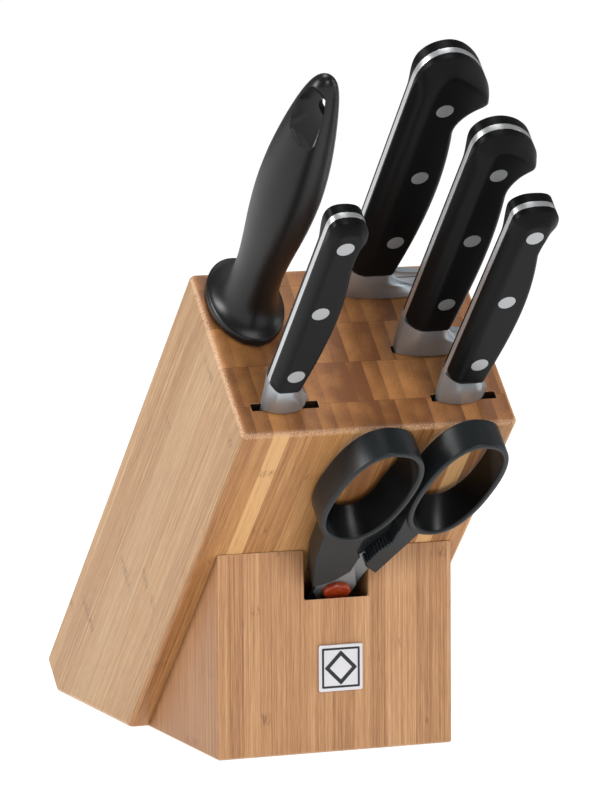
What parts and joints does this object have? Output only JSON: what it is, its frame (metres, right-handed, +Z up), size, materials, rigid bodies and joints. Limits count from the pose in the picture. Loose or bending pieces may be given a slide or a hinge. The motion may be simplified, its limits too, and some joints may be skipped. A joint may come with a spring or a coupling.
{
  "type": "knife block with knives",
  "caption": "Leaning bamboo knife block on a wedge plinth, with riveted full-tang knives, a sharpening steel and kitchen shears that all slide out along the lean.",
  "frame": {"origin": "middle of the body's width, where its leaning front face meets the ground", "axes": "+Z up, -Y the front that the badge and the shears face, +X to the right seen from the front"},
  "size_m": [0.11, 0.3014, 0.2766],
  "materials": {
    "bamboo": "satin oiled bamboo strips",
    "bamboo_plinth": "satin oiled bamboo strips",
    "dowel_wood": "plain turned wood",
    "badge_metal": "bright satin",
    "badge_enamel": "dark enamel",
    "blade_steel": "satin ground",
    "rivet_steel": "polished flush",
    "black_scale": "semi-gloss",
    "ribbed_steel": "fine lengthwise ribs",
    "soft_black_plastic": "fine matt grain",
    "grained_black_plastic": "fine moulded grain",
    "orange_plastic": "moulded, semi-gloss"
  },
  "bodies": {
    "block": {"front_board": "bamboo", "second_board": "bamboo", "third_board": "bamboo", "back_board": "bamboo", "plinth": "bamboo_plinth", "plinth_dowels": "dowel_wood", "badge_plate": "badge_metal", "badge_inlay": "badge_enamel"},
    "chef_knife": {"chef_blade": "blade_steel", "chef_front_scale": "black_scale", "chef_back_scale": "black_scale", "chef_rivets": "rivet_steel"},
    "slicing_knife": {"slicing_blade": "blade_steel", "slicing_front_scale": "black_scale", "slicing_back_scale": "black_scale", "slicing_rivets": "rivet_steel"},
    "utility_knife": {"utility_blade": "blade_steel", "utility_front_scale": "black_scale", "utility_back_scale": "black_scale", "utility_rivets": "rivet_steel"},
    "paring_knife": {"paring_blade": "blade_steel", "paring_front_scale": "black_scale", "paring_back_scale": "black_scale", "paring_rivets": "rivet_steel"},
    "steel": {"steel_rod": "ribbed_steel", "steel_handle": "soft_black_plastic"},
    "shears": {"shears_left_blade": "blade_steel", "shears_left_handle": "grained_black_plastic", "shears_pivot": "rivet_steel", "shears_cap": "orange_plastic"},
    "shears_right_half": {"shears_right_blade": "blade_steel", "shears_right_handle": "grained_black_plastic"}
  },
  "joints": [
    {"name": "chef_knife_slide", "type": "slide", "parent": "block", "child": "chef_knife", "axis": [0, -0.7071, 0.7071], "range_m": [0, 0.215]},
    {"name": "slicing_knife_slide", "type": "slide", "parent": "block", "child": "slicing_knife", "axis": [0, -0.7071, 0.7071], "range_m": [0, 0.195]},
    {"name": "utility_knife_slide", "type": "slide", "parent": "block", "child": "utility_knife", "axis": [0, -0.7071, 0.7071], "range_m": [0, 0.145]},
    {"name": "paring_knife_slide", "type": "slide", "parent": "block", "child": "paring_knife", "axis": [0, -0.7071, 0.7071], "range_m": [0, 0.115]},
    {"name": "steel_slide", "type": "slide", "parent": "block", "child": "steel", "axis": [0, -0.7071, 0.7071], "range_m": [0, 0.215]},
    {"name": "shears_slide", "type": "slide", "parent": "block", "child": "shears", "axis": [0, -0.7071, 0.7071], "range_m": [0, 0.11]},
    {"name": "shears_pivot_hinge", "type": "hinge", "parent": "shears", "child": "shears_right_half", "pos_m": [0.0026, -0.07495, 0.06364], "axis": [0, 0.7071, 0.7071], "range_deg": [0, 5]}
  ]
}
